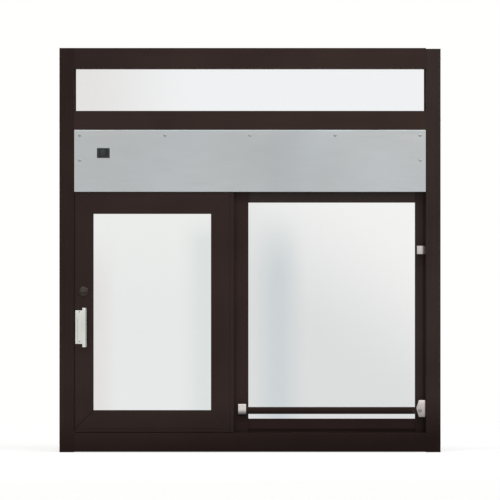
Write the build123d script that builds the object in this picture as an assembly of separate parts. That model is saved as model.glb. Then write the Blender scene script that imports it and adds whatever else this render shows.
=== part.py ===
"""Sliding concession window: a transom light above, and a sliding sash and a fixed light below.

Millimetres. +X runs to the right as the room side shows it, +Y from the room to the street,
+Z up. The origin is the middle of the sill's underside, at mid width and mid depth.
"""

from build123d import *
import math
import os

# Outer frame: four tubes and a transom bar
overall_width = 1206.5
overall_height = 1278.0
frame_depth = 114.3
jamb_face = 46.5
jamb_foot_drop = 1.5
right_jamb_top_drop = 2.4
head_height = 66.5
transom_light_height = 132.5
transom_bar_height = 59.0
sill_height = 60.0
tube_wall = 3.0
tube_edge = 0.8

# Transom light, glazed in pockets in the middle of the frame
pane_thickness = 6.0
pane_bite = 8.0
pane_end_gap = 0.3
pocket_depth = 11.0
pocket_width = 12.0
pocket_wall = 2.5
side_stop_width = 5.5
side_stop_depth = 30.0

# Header: cover sheet on the room side, panel and soffit on the street side, track inside
cover_height = 197.5
cover_sheet = 3.0
cover_gap = 0.6
cover_top_gap = 1.3
cover_edge = 1.4
soffit_rise = 18.5
soffit_sheet = 3.0
cleat_leg = 18.0
cleat_sheet = 3.0
cleat_gap = 3.0
screw_hole_radius = 2.2
screw_inset = 18.0
cover_screws_across = 5
side_screw_drop = 97.0

# Sliding sash: a mitred frame with a guide channel below, a hanger rail above and an interlock
sash_side_gap = 1.85
sash_sill_gap = 2.0
sash_cover_reveal = 10.0
meeting_offset = 51.0
sash_setback = 6.0
sash_depth = 38.0
sash_face = 59.8
sash_wall = 2.5
glazing_lip = 12.0
lip_sheet = 3.0
gasket_sheet = 1.5
gasket_width = 6.0
gasket_inset = 0.5
gasket_end_gap = 0.3
bead_wall = 1.5
bead_width = 10.5
bead_end_gap = 0.3
guide_channel_height = 10.0
guide_groove_width = 12.0
guide_groove_depth = 8.0
guide_play = 1.0
guide_length = 30.0
guide_inset = 20.0
interlock_width = 12.7
interlock_leaf = 46.0
leaf_sheet = 3.0
leaf_return = 4.5
hanger_rail_height = 25.0

# Track and hangers
track_width = 30.0
track_height = 42.0
track_wall = 3.0
track_lip = 8.0
track_above_sash = 14.0
wheel_radius = 11.0
wheel_width = 6.0
wheel_clearance = 0.2
wheel_play = 0.5
axle_radius = 3.0
hanger_length = 90.0
hanger_plate = 4.0
hanger_foot = 12.0
hanger_inset = 110.0
wheel_spacing = 60.0

# Fixed light, set back behind the sash
fixed_setback = 51.0
fixed_street_setback = 19.3
fixed_left_face = 40.0
fixed_right_face = 34.3
fixed_bottom_face = 44.4
fixed_cover_reveal = 34.0
leaf_lap = 1.4
side_shadow_gap = 7.7
bottom_shadow_gap = 12.0
shadow_gap_depth = 10.0

# Security bar: a square tube with a tip cap and a rounded end piece on the pivot pin
bar_size = 22.0
bar_corner = 1.5
bar_wall = 2.0
bar_axis_inset = 18.75
bar_axis_rise = 70.4
bar_tip_inset = 1.7
bar_end_length = 24.4
bar_plug_length = 15.0
plug_play = 0.1
tip_cap = 3.0
bar_seat_gap = 0.3
bar_side_clearance = 2.0

# Brackets of the security bar
hook_sheet = 3.0
hook_clearance = 5.0
hook_offset = 13.5
hook_width = 25.2
hook_height = 38.3
clip_height = 26.0
clip_below_cover = 183.85
clip_reach = 27.0
clip_foot_behind = 6.0
bracket_sheet = 4.0
bracket_bend = 5.0
bracket_below_axis = 20.2
bracket_height = 52.8
bracket_apex_reach = 30.4
bracket_apex_rise = 27.0
bracket_shoulder_reach = 21.9
bracket_toe_reach = 22.6
bracket_edge = 1.0
pin_radius = 4.0
pin_play = 0.05
pin_head_radius = 5.5
pin_head_height = 2.5

# Pull handle on the sash's left stile
handle_inset = 2.0
handle_mid_height = 394.2
flange_height = 106.0
flange_width = 26.5
flange_sheet = 3.0
flange_groove_inset = 5.8
flange_groove_width = 2.2
flange_groove_depth = 1.0
grip_height = 124.1
grip_drop = 1.1
grip_width = 14.1
grip_sheet = 3.5
grip_reach = 24.0
grip_curl = 8.0
web_sheet = 4.0

# Lock: a collar on the stile and a thumb turn in it
lock_inset = 28.2
lock_above_handle = 113.3
lock_radius = 15.0
lock_collar_height = 4.0
turn_gap = 0.3
turn_base_radius = 12.0
turn_base_height = 3.0
turn_stem_radius = 5.0
turn_play = 0.05
turn_wing_length = 21.0
turn_wing_width = 6.0
turn_wing_height = 9.0
turn_wing_angle = 12.0

# Switch on the header cover
switch_inset = 92.55
switch_drop = 74.3
switch_width = 40.0
switch_height = 31.0
switch_rim_sheet = 2.0
switch_well_width = 26.0
switch_well_height = 25.0
switch_well_depth = 14.0
switch_wall = 1.2
switch_fit = 0.2
rocker_play = 0.6
rocker_radius = 30.0
rocker_proud = 2.0
rocker_inside = 5.0
rocker_dish = 1.5
rocker_pin_radius = 1.5

# Anchors through the jambs
anchor_radius = 4.0
anchor_count = 4
anchor_inset = 100.0

# Frame, header and transom light
front = -frame_depth / 2
back = frame_depth / 2
jamb_inner = overall_width / 2 - jamb_face
head_bottom = overall_height - head_height
transom_bar_top = head_bottom - transom_light_height
transom_bar_bottom = transom_bar_top - transom_bar_height
cover_bottom = transom_bar_bottom - cover_height
soffit_bottom = cover_bottom + soffit_rise

# Sash and track
sash_left = -jamb_inner + sash_side_gap
sash_right = -meeting_offset
sash_mitre_right = sash_right - interlock_width
sash_bottom = sill_height + sash_sill_gap
sash_mitre_bottom = sash_bottom + guide_channel_height
sash_mitre_top = cover_bottom - sash_cover_reveal
sash_rail_top = sash_mitre_top + hanger_rail_height
sash_front = front + sash_setback
sash_back = sash_front + sash_depth
sash_glass_front = sash_front + lip_sheet + gasket_sheet
leaf_front = sash_back - leaf_sheet
leaf_right = sash_right + interlock_leaf
track_mid = (sash_front + sash_back) / 2
track_bottom = sash_rail_top + track_above_sash

# Fixed light
fixed_front = front + fixed_setback
fixed_back = back - fixed_street_setback
fixed_depth = fixed_back - fixed_front
fixed_glass_front = fixed_front + lip_sheet + gasket_sheet

# Security bar and its brackets
bar_axis_x = jamb_inner - bar_axis_inset
bar_axis_z = sill_height + bar_axis_rise
hook_left = sash_right + hook_offset
bar_tip_x = hook_left + bar_tip_inset
hook_bore = bar_size / 2 + hook_clearance
hook_outer = hook_bore + hook_sheet
bar_mid_y = leaf_front - hook_outer
seat_depth = math.sqrt((hook_bore - bar_corner) ** 2 - (bar_size / 2 - bar_corner) ** 2)
bar_seat = seat_depth + bar_corner - bar_seat_gap
clip_middle = cover_bottom - clip_below_cover
bracket_bottom = bar_axis_z - bracket_below_axis

# Handle, lock and switch
handle_left = sash_left + handle_inset
lock_x = sash_left + lock_inset
lock_z = handle_mid_height + lock_above_handle
switch_x = -jamb_inner + switch_inset
switch_z = transom_bar_bottom - switch_drop
rocker_y = front + rocker_proud


def room_plane(y):
    """A plane facing the room, at the depth y: local x is X and local y is Z."""
    return Plane(origin=(0, y, 0), x_dir=(1, 0, 0), z_dir=(0, -1, 0))


def box(x0, x1, y0, y1, z0, z1):
    """A block between two opposite corners."""
    return Pos((x0 + x1) / 2, (y0 + y1) / 2, (z0 + z1) / 2) * Box(x1 - x0, y1 - y0, z1 - z0)


def rectangle(x0, x1, y0, y1, radius=0.0):
    """A flat rectangle between two opposite corners, with rounded corners where asked."""
    if radius > 0:
        face = RectangleRounded(x1 - x0, y1 - y0, radius)
    else:
        face = Rectangle(x1 - x0, y1 - y0)
    return Pos((x0 + x1) / 2, (y0 + y1) / 2) * face


def run_section(section, start, inward, length):
    """Run a section (local x inward, local y to the street) along its member."""
    across = Vector(*inward)
    along = across.cross(Vector(0, 1, 0))
    return extrude(Plane(origin=start, x_dir=across, z_dir=along) * section, length)


def drill(x, z, radius, y0, y1):
    """A round bar along Y, also used as a hole."""
    return extrude(room_plane(y1) * Pos(x, z) * Circle(radius), y1 - y0)


def tube_section(face, depth):
    """Frame tube: local x from its outer edge inwards, local y from the room to the street."""
    outer = rectangle(0, face, 0, depth, tube_edge)
    return outer - rectangle(tube_wall, face - tube_wall, tube_wall, depth - tube_wall)


def glazed_tube_section(face, depth, pocket_edges):
    """Frame tube with a glazing pocket in one edge or both: 1 is the inner edge, 0 the outer."""
    section = tube_section(face, depth)
    mid = depth / 2
    half = pocket_width / 2
    for edge in pocket_edges:
        low = 0.0 if edge == 0 else face - pocket_depth
        high = low + pocket_depth
        wall_low = low if edge == 0 else low - pocket_wall
        wall_high = high + pocket_wall if edge == 0 else high
        section += rectangle(wall_low, wall_high, mid - half - pocket_wall, mid + half + pocket_wall)
        section -= rectangle(low, high, mid - half, mid + half)
    return section


def jamb(side):
    """Side tube of the frame, drilled for its wall anchors."""
    outer = side * overall_width / 2
    top = overall_height if side < 0 else overall_height - right_jamb_top_drop
    height = top + jamb_foot_drop
    low = -jamb_foot_drop if side < 0 else top
    solid = run_section(tube_section(jamb_face, frame_depth), (outer, front, low), (-side, 0, 0), height)
    anchor_step = (overall_height - 2 * anchor_inset) / (anchor_count - 1)
    for index in range(anchor_count):
        z = anchor_inset + index * anchor_step
        middle = side * (overall_width / 2 - jamb_face / 2)
        solid -= Pos(middle, 0, z) * Rot(0, 90, 0) * Cylinder(anchor_radius, jamb_face * 1.2)
    return solid


def head():
    """Top tube, with the glazing pocket in its underside."""
    section = glazed_tube_section(head_height, frame_depth, [1])
    return run_section(section, (-jamb_inner, front, overall_height), (0, 0, -1), 2 * jamb_inner)


def transom_bar():
    """Tube between the transom light and the header, with the pocket in its top."""
    section = glazed_tube_section(transom_bar_height, frame_depth, [0])
    return run_section(section, (-jamb_inner, front, transom_bar_top), (0, 0, -1), 2 * jamb_inner)


def sill():
    """Bottom tube, with a rounded nose along its room edge."""
    section = tube_section(sill_height, frame_depth)
    return run_section(section, (jamb_inner, front, 0), (0, 0, 1), 2 * jamb_inner)


def transom_stop(side):
    """Slim stop on the jamb, in two halves with the end of the transom pane between them."""
    mid = frame_depth / 2
    section = rectangle(0, side_stop_width, mid - side_stop_depth / 2, mid + side_stop_depth / 2)
    section -= rectangle(0, side_stop_width, mid - pocket_width / 2, mid + pocket_width / 2)
    height = head_bottom - transom_bar_top
    low = transom_bar_top if side < 0 else head_bottom
    return run_section(section, (side * jamb_inner, front, low), (-side, 0, 0), height)


def transom_glass():
    """Pane of the transom light, its edges in the pockets."""
    half = jamb_inner - pane_end_gap
    low = transom_bar_top - pane_bite
    high = head_bottom + pane_bite
    return box(-half, half, -pane_thickness / 2, pane_thickness / 2, low, high)


def cover_screw_places():
    """Centres of the cover's screws: a row along its top, and one more down each side."""
    half = jamb_inner - screw_inset
    top = transom_bar_bottom - screw_inset
    step = 2 * half / (cover_screws_across - 1)
    row = [(-half + index * step, top) for index in range(cover_screws_across)]
    sides = [(-half, transom_bar_bottom - side_screw_drop), (half, transom_bar_bottom - side_screw_drop)]
    return row + sides


def header_cover():
    """Access cover of the header, a drilled sheet with the switch's cut-out."""
    half = jamb_inner - cover_gap
    sheet = box(-half, half, front, front + cover_sheet, cover_bottom, transom_bar_bottom - cover_top_gap)
    sheet = fillet(sheet.edges().filter_by(Axis.X).group_by(Axis.Y)[0], cover_edge)
    for x, z in cover_screw_places():
        sheet -= drill(x, z, screw_hole_radius, front - 1, front + cover_sheet + 1)
    well_x = switch_well_width / 2
    well_z = switch_well_height / 2
    sheet -= box(switch_x - well_x, switch_x + well_x, front - 1, front + cover_sheet + 1,
                 switch_z - well_z, switch_z + well_z)
    return sheet


def top_cleat():
    """Angle under the transom bar that the cover's top row screws into."""
    y0 = front + cover_sheet
    top = transom_bar_bottom
    leg = 2 * screw_inset
    solid = box(-jamb_inner, jamb_inner, y0, y0 + cleat_sheet, top - leg, top)
    solid += box(-jamb_inner, jamb_inner, y0, y0 + cleat_leg, top - cleat_sheet, top)
    for x, z in cover_screw_places()[:cover_screws_across]:
        solid -= drill(x, z, screw_hole_radius, y0 - 1, y0 + cleat_sheet + 1)
    return solid


def side_cleat(side):
    """Angle on the jamb that the cover's side screw goes into."""
    y0 = front + cover_sheet
    top = transom_bar_bottom - 2 * screw_inset - cleat_gap
    low = track_bottom + track_height + cleat_gap
    near = side * jamb_inner
    far = side * (jamb_inner - 2 * screw_inset)
    solid = box(min(near, far), max(near, far), y0, y0 + cleat_sheet, low, top)
    inner = side * (jamb_inner - cleat_sheet)
    solid += box(min(near, inner), max(near, inner), y0, y0 + cleat_leg, low, top)
    x, z = cover_screw_places()[cover_screws_across + (0 if side < 0 else 1)]
    return solid - drill(x, z, screw_hole_radius, y0 - 1, y0 + cleat_sheet + 1)


def header_outer_panel():
    """Panel that closes the header towards the street."""
    y0 = back - cover_sheet
    panel = box(-jamb_inner, jamb_inner, y0, back, cover_bottom, transom_bar_bottom)
    return fillet(panel.edges().filter_by(Axis.X).group_by(Axis.Y)[-1], cover_edge)


def header_soffit():
    """Plate that closes the header from below, over the fixed light and the serving side."""
    return box(-jamb_inner, jamb_inner, track_mid + track_width / 2, back - cover_sheet,
               soffit_bottom, soffit_bottom + soffit_sheet)


def header_track():
    """Channel that the sash hangs in: open below, with a lip each side for the wheels."""
    y0 = track_mid - track_width / 2 - front
    y1 = track_mid + track_width / 2 - front
    section = rectangle(0, track_height, y0, y1)
    section -= rectangle(track_wall, track_height - track_wall, y0 + track_wall, y1 - track_wall)
    section -= rectangle(0, track_wall, y0 + track_lip, y1 - track_lip)
    return run_section(section, (jamb_inner, front, track_bottom), (0, 0, 1), 2 * jamb_inner)


def hanger(x):
    """Hanger of the sash: a plate on its top rail with two pairs of wheels in the track."""
    mid = track_mid
    lip_top = track_bottom + track_wall
    axle_z = lip_top + wheel_radius + wheel_clearance
    half = hanger_length / 2
    plate = box(x - half, x + half, mid - hanger_plate / 2, mid + hanger_plate / 2,
                sash_rail_top, axle_z + 2 * axle_radius)
    foot = box(x - half, x + half, mid - hanger_foot / 2, mid + hanger_foot / 2,
               sash_rail_top, sash_rail_top + hanger_plate)
    solid = plate + foot
    inner = track_width / 2 - track_wall - wheel_play
    for offset in (-wheel_spacing / 2, wheel_spacing / 2):
        axle = Pos(x + offset, mid, axle_z) * Rot(90, 0, 0) * Cylinder(axle_radius, 2 * inner)
        solid += axle
        for end in (-1, 1):
            y = mid + end * (inner - wheel_width / 2)
            solid += Pos(x + offset, y, axle_z) * Rot(90, 0, 0) * Cylinder(wheel_radius, wheel_width)
    return solid


def sash_section():
    """Sash member: a hollow box with a lip on the room side that the pane beds against."""
    box_face = sash_face - glazing_lip
    section = rectangle(0, box_face, 0, sash_depth, tube_edge)
    section += rectangle(box_face / 2, sash_face, 0, lip_sheet)
    section += rectangle(box_face / 2, box_face, sash_depth / 2, sash_depth)
    return section - rectangle(sash_wall, box_face - sash_wall, lip_sheet, sash_depth - sash_wall)


def mitre_block(points):
    """Block with the outline of one mitred member, right through the depth of the frame."""
    outline = make_face(Polyline(*points, close=True))
    return extrude(room_plane(0) * outline, frame_depth, both=True)


def sash_frame():
    """The four mitred members of the sash."""
    x0, x1 = sash_left, sash_mitre_right
    z0, z1 = sash_mitre_bottom, sash_mitre_top
    xi, xj = x0 + sash_face, x1 - sash_face
    zi, zj = z0 + sash_face, z1 - sash_face
    section = sash_section()
    width = x1 - x0
    height = z1 - z0
    left = run_section(section, (x0, sash_front, z0), (1, 0, 0), height)
    right = run_section(section, (x1, sash_front, z1), (-1, 0, 0), height)
    bottom = run_section(section, (x1, sash_front, z0), (0, 0, 1), width)
    top = run_section(section, (x0, sash_front, z1), (0, 0, -1), width)
    return {
        "sash_left_stile": left & mitre_block([(x0, z0), (xi, zi), (xi, zj), (x0, z1)]),
        "sash_right_stile": right & mitre_block([(x1, z0), (x1, z1), (xj, zj), (xj, zi)]),
        "sash_bottom_rail": bottom & mitre_block([(x0, z0), (x1, z0), (xj, zi), (xi, zi)]),
        "sash_top_rail": top & mitre_block([(x0, z1), (xi, zj), (xj, zj), (x1, z1)]),
    }


def pane(x0, x1, z0, z1, y0):
    """Pane behind the glazing lips, its edges under the lips by the bite."""
    return box(x0 - pane_bite, x1 + pane_bite, y0, y0 + pane_thickness, z0 - pane_bite, z1 + pane_bite)


def bead_ring(x0, x1, z0, z1, y0, y1):
    """Four glazing beads inside an opening: channels open towards the frame, ends just apart."""
    depth = y1 - y0
    section = rectangle(0, bead_width, 0, depth)
    section -= rectangle(0, bead_width - bead_wall, bead_wall, depth - bead_wall)
    short = bead_width + bead_end_gap
    across = x1 - x0 - 2 * short
    return Compound(children=[
        run_section(section, (x0, y0, z0), (1, 0, 0), z1 - z0),
        run_section(section, (x1, y0, z1), (-1, 0, 0), z1 - z0),
        run_section(section, (x1 - short, y0, z0), (0, 0, 1), across),
        run_section(section, (x0 + short, y0, z1), (0, 0, -1), across),
    ])


def gasket_ring(x0, x1, z0, z1, y0):
    """Four gasket strips around a daylight opening, their ends just apart."""
    inset = gasket_inset
    wide = inset + gasket_width
    y1 = y0 + gasket_sheet
    cut = gasket_end_gap
    return [
        box(x0 - wide, x0 - inset, y0, y1, z0 - wide, z1 + wide),
        box(x1 + inset, x1 + wide, y0, y1, z0 - wide, z1 + wide),
        box(x0 - inset + cut, x1 + inset - cut, y0, y1, z0 - wide, z0 - inset),
        box(x0 - inset + cut, x1 + inset - cut, y0, y1, z1 + inset, z1 + wide),
    ]


def glazing_gaskets():
    """Gaskets on both sides of the sash's pane and of the fixed pane."""
    strips = []
    for opening, y0 in ((sash_glass_opening(), sash_glass_front), (fixed_opening(), fixed_glass_front)):
        strips += gasket_ring(*opening, y0 - gasket_sheet)
        strips += gasket_ring(*opening, y0 + pane_thickness)
    return Compound(children=strips)


def sash_glass_opening():
    """The sash's daylight opening: left, right, bottom and top."""
    return (sash_left + sash_face, sash_mitre_right - sash_face,
            sash_mitre_bottom + sash_face, sash_mitre_top - sash_face)


def sash_glass():
    """Pane of the sash."""
    x0, x1, z0, z1 = sash_glass_opening()
    return pane(x0, x1, z0, z1, sash_glass_front)


def sash_beads():
    """Beads that hold the sash's pane from the street side."""
    x0, x1, z0, z1 = sash_glass_opening()
    out = glazing_lip
    y0 = sash_glass_front + pane_thickness + gasket_sheet
    return bead_ring(x0 - out, x1 + out, z0 - out, z1 + out, y0, sash_back - bead_wall)


def sash_guide_channel():
    """Channel under the sash's bottom rail, with the groove that the guide stands in."""
    section = rectangle(0, guide_channel_height, 0, sash_depth)
    mid = sash_depth / 2
    half = guide_groove_width / 2
    section -= rectangle(0, guide_groove_depth, mid - half, mid + half)
    length = sash_mitre_right - sash_left
    return run_section(section, (sash_mitre_right, sash_front, sash_bottom), (0, 0, 1), length)


def bottom_guide():
    """Guide block on the sill, standing in the sash's groove."""
    half = guide_groove_width / 2 - guide_play
    x1 = sash_mitre_right - guide_inset
    return box(x1 - guide_length, x1, track_mid - half, track_mid + half,
               sill_height, sash_bottom + guide_groove_depth - guide_play)


def sash_hanger_rail():
    """Rail along the sash's top, which runs up behind the cover and carries the hangers."""
    section = tube_section(hanger_rail_height, sash_depth)
    length = sash_mitre_right - sash_left
    return run_section(section, (sash_mitre_right, sash_front, sash_mitre_top), (0, 0, 1), length)


def sash_interlock():
    """Edge of the sash with a set-back leaf that laps the fixed light's stile."""
    back_y = sash_depth
    section = rectangle(0, interlock_width, 0, back_y, tube_edge)
    section -= rectangle(sash_wall, interlock_width - sash_wall, sash_wall, back_y - sash_wall)
    far = interlock_width + interlock_leaf
    section += rectangle(interlock_width / 2, far, back_y - leaf_sheet, back_y)
    section += rectangle(far - leaf_sheet, far, back_y - leaf_sheet, back_y + leaf_return)
    height = sash_rail_top - sash_bottom
    return run_section(section, (sash_mitre_right, sash_front, sash_bottom), (1, 0, 0), height)


def fixed_section(face, gap):
    """Fixed light's member: a hollow box and lip, with a shadow gap along its outer edge."""
    box_face = face - glazing_lip
    chamber = box_face - sash_wall
    section = rectangle(0, face, 0, fixed_depth, tube_edge)
    section -= rectangle(box_face, face, lip_sheet, fixed_depth)
    if gap > 0:
        web_back = shadow_gap_depth + sash_wall
        section -= rectangle(0, gap, 0, shadow_gap_depth)
        section -= rectangle(gap + sash_wall, chamber, lip_sheet, web_back)
        section -= rectangle(sash_wall, chamber, web_back, fixed_depth - sash_wall)
    else:
        section -= rectangle(sash_wall, chamber, lip_sheet, fixed_depth - sash_wall)
    return section


def fixed_opening():
    """The fixed light's daylight opening: left, right, bottom and top."""
    return (leaf_right - leaf_lap, jamb_inner - fixed_right_face,
            sill_height + fixed_bottom_face, cover_bottom - fixed_cover_reveal)


def fixed_frame():
    """The fixed light's members: stiles from sill to soffit, and rails that run in behind their lips."""
    x0, x1, z0, z1 = fixed_opening()
    low = sill_height
    high = soffit_bottom
    left = fixed_section(fixed_left_face, 0)
    right = fixed_section(fixed_right_face, side_shadow_gap)
    bottom = fixed_section(fixed_bottom_face, bottom_shadow_gap)
    top = fixed_section(high - z1, 0)
    right_stile = run_section(right, (jamb_inner, fixed_front, high), (-1, 0, 0), high - low)
    left_stile = run_section(left, (x0 - fixed_left_face, fixed_front, low), (1, 0, 0), high - low)
    reach = x1 - x0 + 2 * glazing_lip
    bottom_rail = run_section(bottom, (x1 + glazing_lip, fixed_front, low), (0, 0, 1), reach)
    top_rail = run_section(top, (x0 - glazing_lip, fixed_front, high), (0, 0, -1), reach)
    for near, far in ((x0 - glazing_lip, x0), (x1, x1 + glazing_lip)):
        lip = box(near, far, fixed_front, fixed_front + lip_sheet, low, high)
        bottom_rail -= lip
        top_rail -= lip
    return {
        "fixed_left_stile": left_stile,
        "fixed_right_stile": right_stile,
        "fixed_bottom_rail": bottom_rail,
        "fixed_top_rail": top_rail,
    }


def fixed_glass():
    """Pane of the fixed light."""
    x0, x1, z0, z1 = fixed_opening()
    return pane(x0, x1, z0, z1, fixed_glass_front)


def fixed_beads():
    """Beads that hold the fixed pane from the street side."""
    x0, x1, z0, z1 = fixed_opening()
    out = glazing_lip
    y0 = fixed_glass_front + pane_thickness + gasket_sheet
    return bead_ring(x0 - out, x1 + out, z0 - out, z1 + out, y0, fixed_back - bead_wall)


def hook_section(lip_rise):
    """Cradle section: local x runs up its two lips and local y is the depth from the front lip's face."""
    mid = hook_outer
    ring = Circle(hook_outer) - Circle(hook_bore)
    half_ring = ring & rectangle(-hook_outer, 0, -hook_outer, hook_outer)
    section = Pos(0, mid) * half_ring
    section += rectangle(0, lip_rise, 0, hook_sheet)
    section += rectangle(0, lip_rise, 2 * mid - hook_sheet, 2 * mid)
    return section


def saddle_hook():
    """Hook on the sash's leaf that the security bar drops into."""
    centre_z = bar_axis_z - bar_size / 2 + bar_seat
    lip = hook_height - hook_outer
    start = (hook_left + hook_width, bar_mid_y - hook_outer, centre_z)
    return run_section(hook_section(lip), start, (0, 0, 1), hook_width)


def parking_clip():
    """Clip on the jamb that the raised bar swings into, open to the left."""
    centre_x = bar_axis_x + bar_size / 2 - bar_seat
    lip = clip_reach - hook_outer
    low = clip_middle - clip_height / 2
    high = clip_middle + clip_height / 2
    start = (centre_x, bar_mid_y - hook_outer, high)
    solid = run_section(hook_section(lip), start, (-1, 0, 0), clip_height)
    foot = box(jamb_inner - hook_sheet, jamb_inner, bar_mid_y,
               bar_mid_y + hook_outer + clip_foot_behind, low, high)
    return solid + foot


def pivot_bracket():
    """Bracket on the jamb: a bent plate with two pointed ears that hold the bar's pin."""
    inside = bar_size / 2 + bar_side_clearance
    outside = inside + bracket_sheet
    far = jamb_inner - bracket_apex_reach - 2 * bracket_bend
    section = rectangle(far, jamb_inner, bar_mid_y - outside, bar_mid_y + outside, bracket_bend)
    section -= rectangle(far - 1, jamb_inner - bracket_sheet, bar_mid_y - inside, bar_mid_y + inside,
                         bracket_bend - bracket_sheet)
    bent = extrude(Plane.XY.offset(bracket_bottom) * section, bracket_height)
    top = bracket_bottom + bracket_height
    points = [(jamb_inner, bracket_bottom), (jamb_inner - bracket_toe_reach, bracket_bottom),
              (jamb_inner - bracket_apex_reach, bracket_bottom + bracket_apex_rise),
              (jamb_inner - bracket_shoulder_reach, top), (jamb_inner, top)]
    outline = make_face(Polyline(*points, close=True))
    solid = bent & extrude(room_plane(0) * outline, frame_depth, both=True)
    rim = solid.faces().sort_by(Axis.Y)[0].edges().filter_by(
        lambda edge: edge.center().X < jamb_inner - bracket_toe_reach)
    solid = chamfer(rim, bracket_edge)
    reach = outside + 1
    return solid - drill(bar_axis_x, bar_axis_z, pin_radius, bar_mid_y - reach, bar_mid_y + reach)


def pivot_pin():
    """Headed pin through both ears and the bar's end."""
    reach = bar_size / 2 + bar_side_clearance + bracket_sheet
    y0 = bar_mid_y - reach
    y1 = bar_mid_y + reach
    shank = drill(bar_axis_x, bar_axis_z, pin_radius, y0, y1)
    head_disc = drill(bar_axis_x, bar_axis_z, pin_head_radius, y0 - pin_head_height, y0)
    return shank + head_disc


def security_bar():
    """Square tube of the security bar, between its pivot end and its tip."""
    half = bar_size / 2
    inner = half - bar_wall
    section = rectangle(-half, half, -half, half, bar_corner) - rectangle(-inner, inner, -inner, inner)
    x0 = bar_tip_x + tip_cap
    x1 = bar_axis_x - bar_end_length
    return extrude(Plane(origin=(x0, bar_mid_y, bar_axis_z), x_dir=(0, 1, 0), z_dir=(1, 0, 0)) * section,
                   x1 - x0)


def bar_tip():
    """Cap in the bar's free end, with a plug inside the tube."""
    half = bar_size / 2
    plane = Plane(origin=(bar_tip_x, bar_mid_y, bar_axis_z), x_dir=(0, 1, 0), z_dir=(1, 0, 0))
    cap = extrude(plane * rectangle(-half, half, -half, half, bar_corner), tip_cap)
    inner = half - bar_wall - plug_play
    plug = extrude(plane * rectangle(-inner, inner, -inner, inner), tip_cap + bar_plug_length)
    return cap + plug


def bar_pivot_end():
    """Rounded end piece of the bar, bored for the pin."""
    half = bar_size / 2
    joint_x = bar_axis_x - bar_end_length
    body = box(joint_x, bar_axis_x, bar_mid_y - half, bar_mid_y + half,
               bar_axis_z - half, bar_axis_z + half)
    nose = drill(bar_axis_x, bar_axis_z, half, bar_mid_y - half, bar_mid_y + half)
    inner = half - bar_wall - plug_play
    plug = box(joint_x - bar_plug_length, joint_x, bar_mid_y - inner, bar_mid_y + inner,
               bar_axis_z - inner, bar_axis_z + inner)
    solid = body + nose + plug
    return solid - drill(bar_axis_x, bar_axis_z, pin_radius + pin_play, bar_mid_y - half - 1,
                         bar_mid_y + half + 1)


def pull_handle():
    """Handle of the sash: a flange on the stile, a web and a longer finger grip."""
    y0 = sash_front
    flange_bottom = handle_mid_height - flange_height / 2
    flange_top = handle_mid_height + flange_height / 2
    flange = box(handle_left, handle_left + flange_width, y0 - flange_sheet, y0,
                 flange_bottom, flange_top)
    groove_x = handle_left + flange_groove_inset
    flange -= box(groove_x, groove_x + flange_groove_width, y0 - flange_sheet,
                  y0 - flange_sheet + flange_groove_depth, flange_bottom, flange_top)
    web_right = handle_left + flange_width
    web = box(web_right - web_sheet, web_right, y0 - grip_reach, y0 - flange_sheet,
              flange_bottom, flange_top)
    grip_front = y0 - grip_reach - grip_sheet
    curl_x = web_right - web_sheet + grip_width - grip_curl
    curl_y = grip_front + grip_curl
    curl = (Circle(grip_curl) - Circle(grip_curl - grip_sheet)) & rectangle(0, grip_curl, -grip_curl, 0)
    section = rectangle(web_right - web_sheet, curl_x, grip_front, grip_front + grip_sheet)
    section += Pos(curl_x, curl_y) * curl
    grip_bottom = handle_mid_height - grip_drop - grip_height / 2
    grip = extrude(Plane.XY.offset(grip_bottom) * section, grip_height)
    return flange + web + grip


def lock_collar():
    """Fixed collar of the lock on the stile, bored for the thumb turn's stem."""
    collar = drill(lock_x, lock_z, lock_radius, sash_front - lock_collar_height, sash_front)
    bore = drill(lock_x, lock_z, turn_stem_radius, sash_front - lock_collar_height - 1, sash_front)
    return collar - bore


def thumb_turn():
    """Thumb turn: a disc with a raised wing, and the stem that turns in the collar."""
    y_collar = sash_front - lock_collar_height
    disc_back = y_collar - turn_gap
    disc_front = disc_back - turn_base_height
    disc = drill(lock_x, lock_z, turn_base_radius, disc_front, disc_back)
    stem = drill(lock_x, lock_z, turn_stem_radius - turn_play, disc_back, sash_front - turn_gap)
    wing_outline = Rot(0, 0, turn_wing_angle) * SlotOverall(turn_wing_length, turn_wing_width)
    wing = extrude(room_plane(disc_front) * Pos(lock_x, lock_z) * wing_outline, turn_wing_height)
    return disc + stem + wing


def switch_bezel():
    """Rim and well of the switch in the cover."""
    half_x = switch_width / 2
    half_z = switch_height / 2
    rim = box(switch_x - half_x, switch_x + half_x, front - switch_rim_sheet, front,
              switch_z - half_z, switch_z + half_z)
    well_x = switch_well_width / 2 - switch_fit
    well_z = switch_well_height / 2 - switch_fit
    well = box(switch_x - well_x, switch_x + well_x, front, front + switch_well_depth,
               switch_z - well_z, switch_z + well_z)
    wall = switch_wall
    hollow = box(switch_x - well_x + wall, switch_x + well_x - wall, front - switch_rim_sheet,
                 front + switch_well_depth - wall, switch_z - well_z + wall, switch_z + well_z - wall)
    bore = Pos(switch_x, rocker_y, switch_z) * Cylinder(rocker_pin_radius + pin_play, switch_well_height)
    return rim + well - hollow - bore


def switch_rocker():
    """Rocker of the switch, a shallow dished key on an upright pin."""
    half_x = switch_well_width / 2 - switch_fit - switch_wall - 2 * rocker_play
    half_z = switch_well_height / 2 - switch_fit - switch_wall - rocker_play
    key_front = front - switch_rim_sheet - rocker_proud
    key = box(switch_x - half_x, switch_x + half_x, key_front, front + rocker_inside,
              switch_z - half_z, switch_z + half_z)
    dish = Pos(switch_x, key_front - rocker_radius + rocker_dish, switch_z) \
        * Cylinder(rocker_radius, switch_height)
    pin = Pos(switch_x, rocker_y, switch_z) \
        * Cylinder(rocker_pin_radius, switch_well_height - 2 * switch_fit)
    return key - dish + pin


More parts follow.
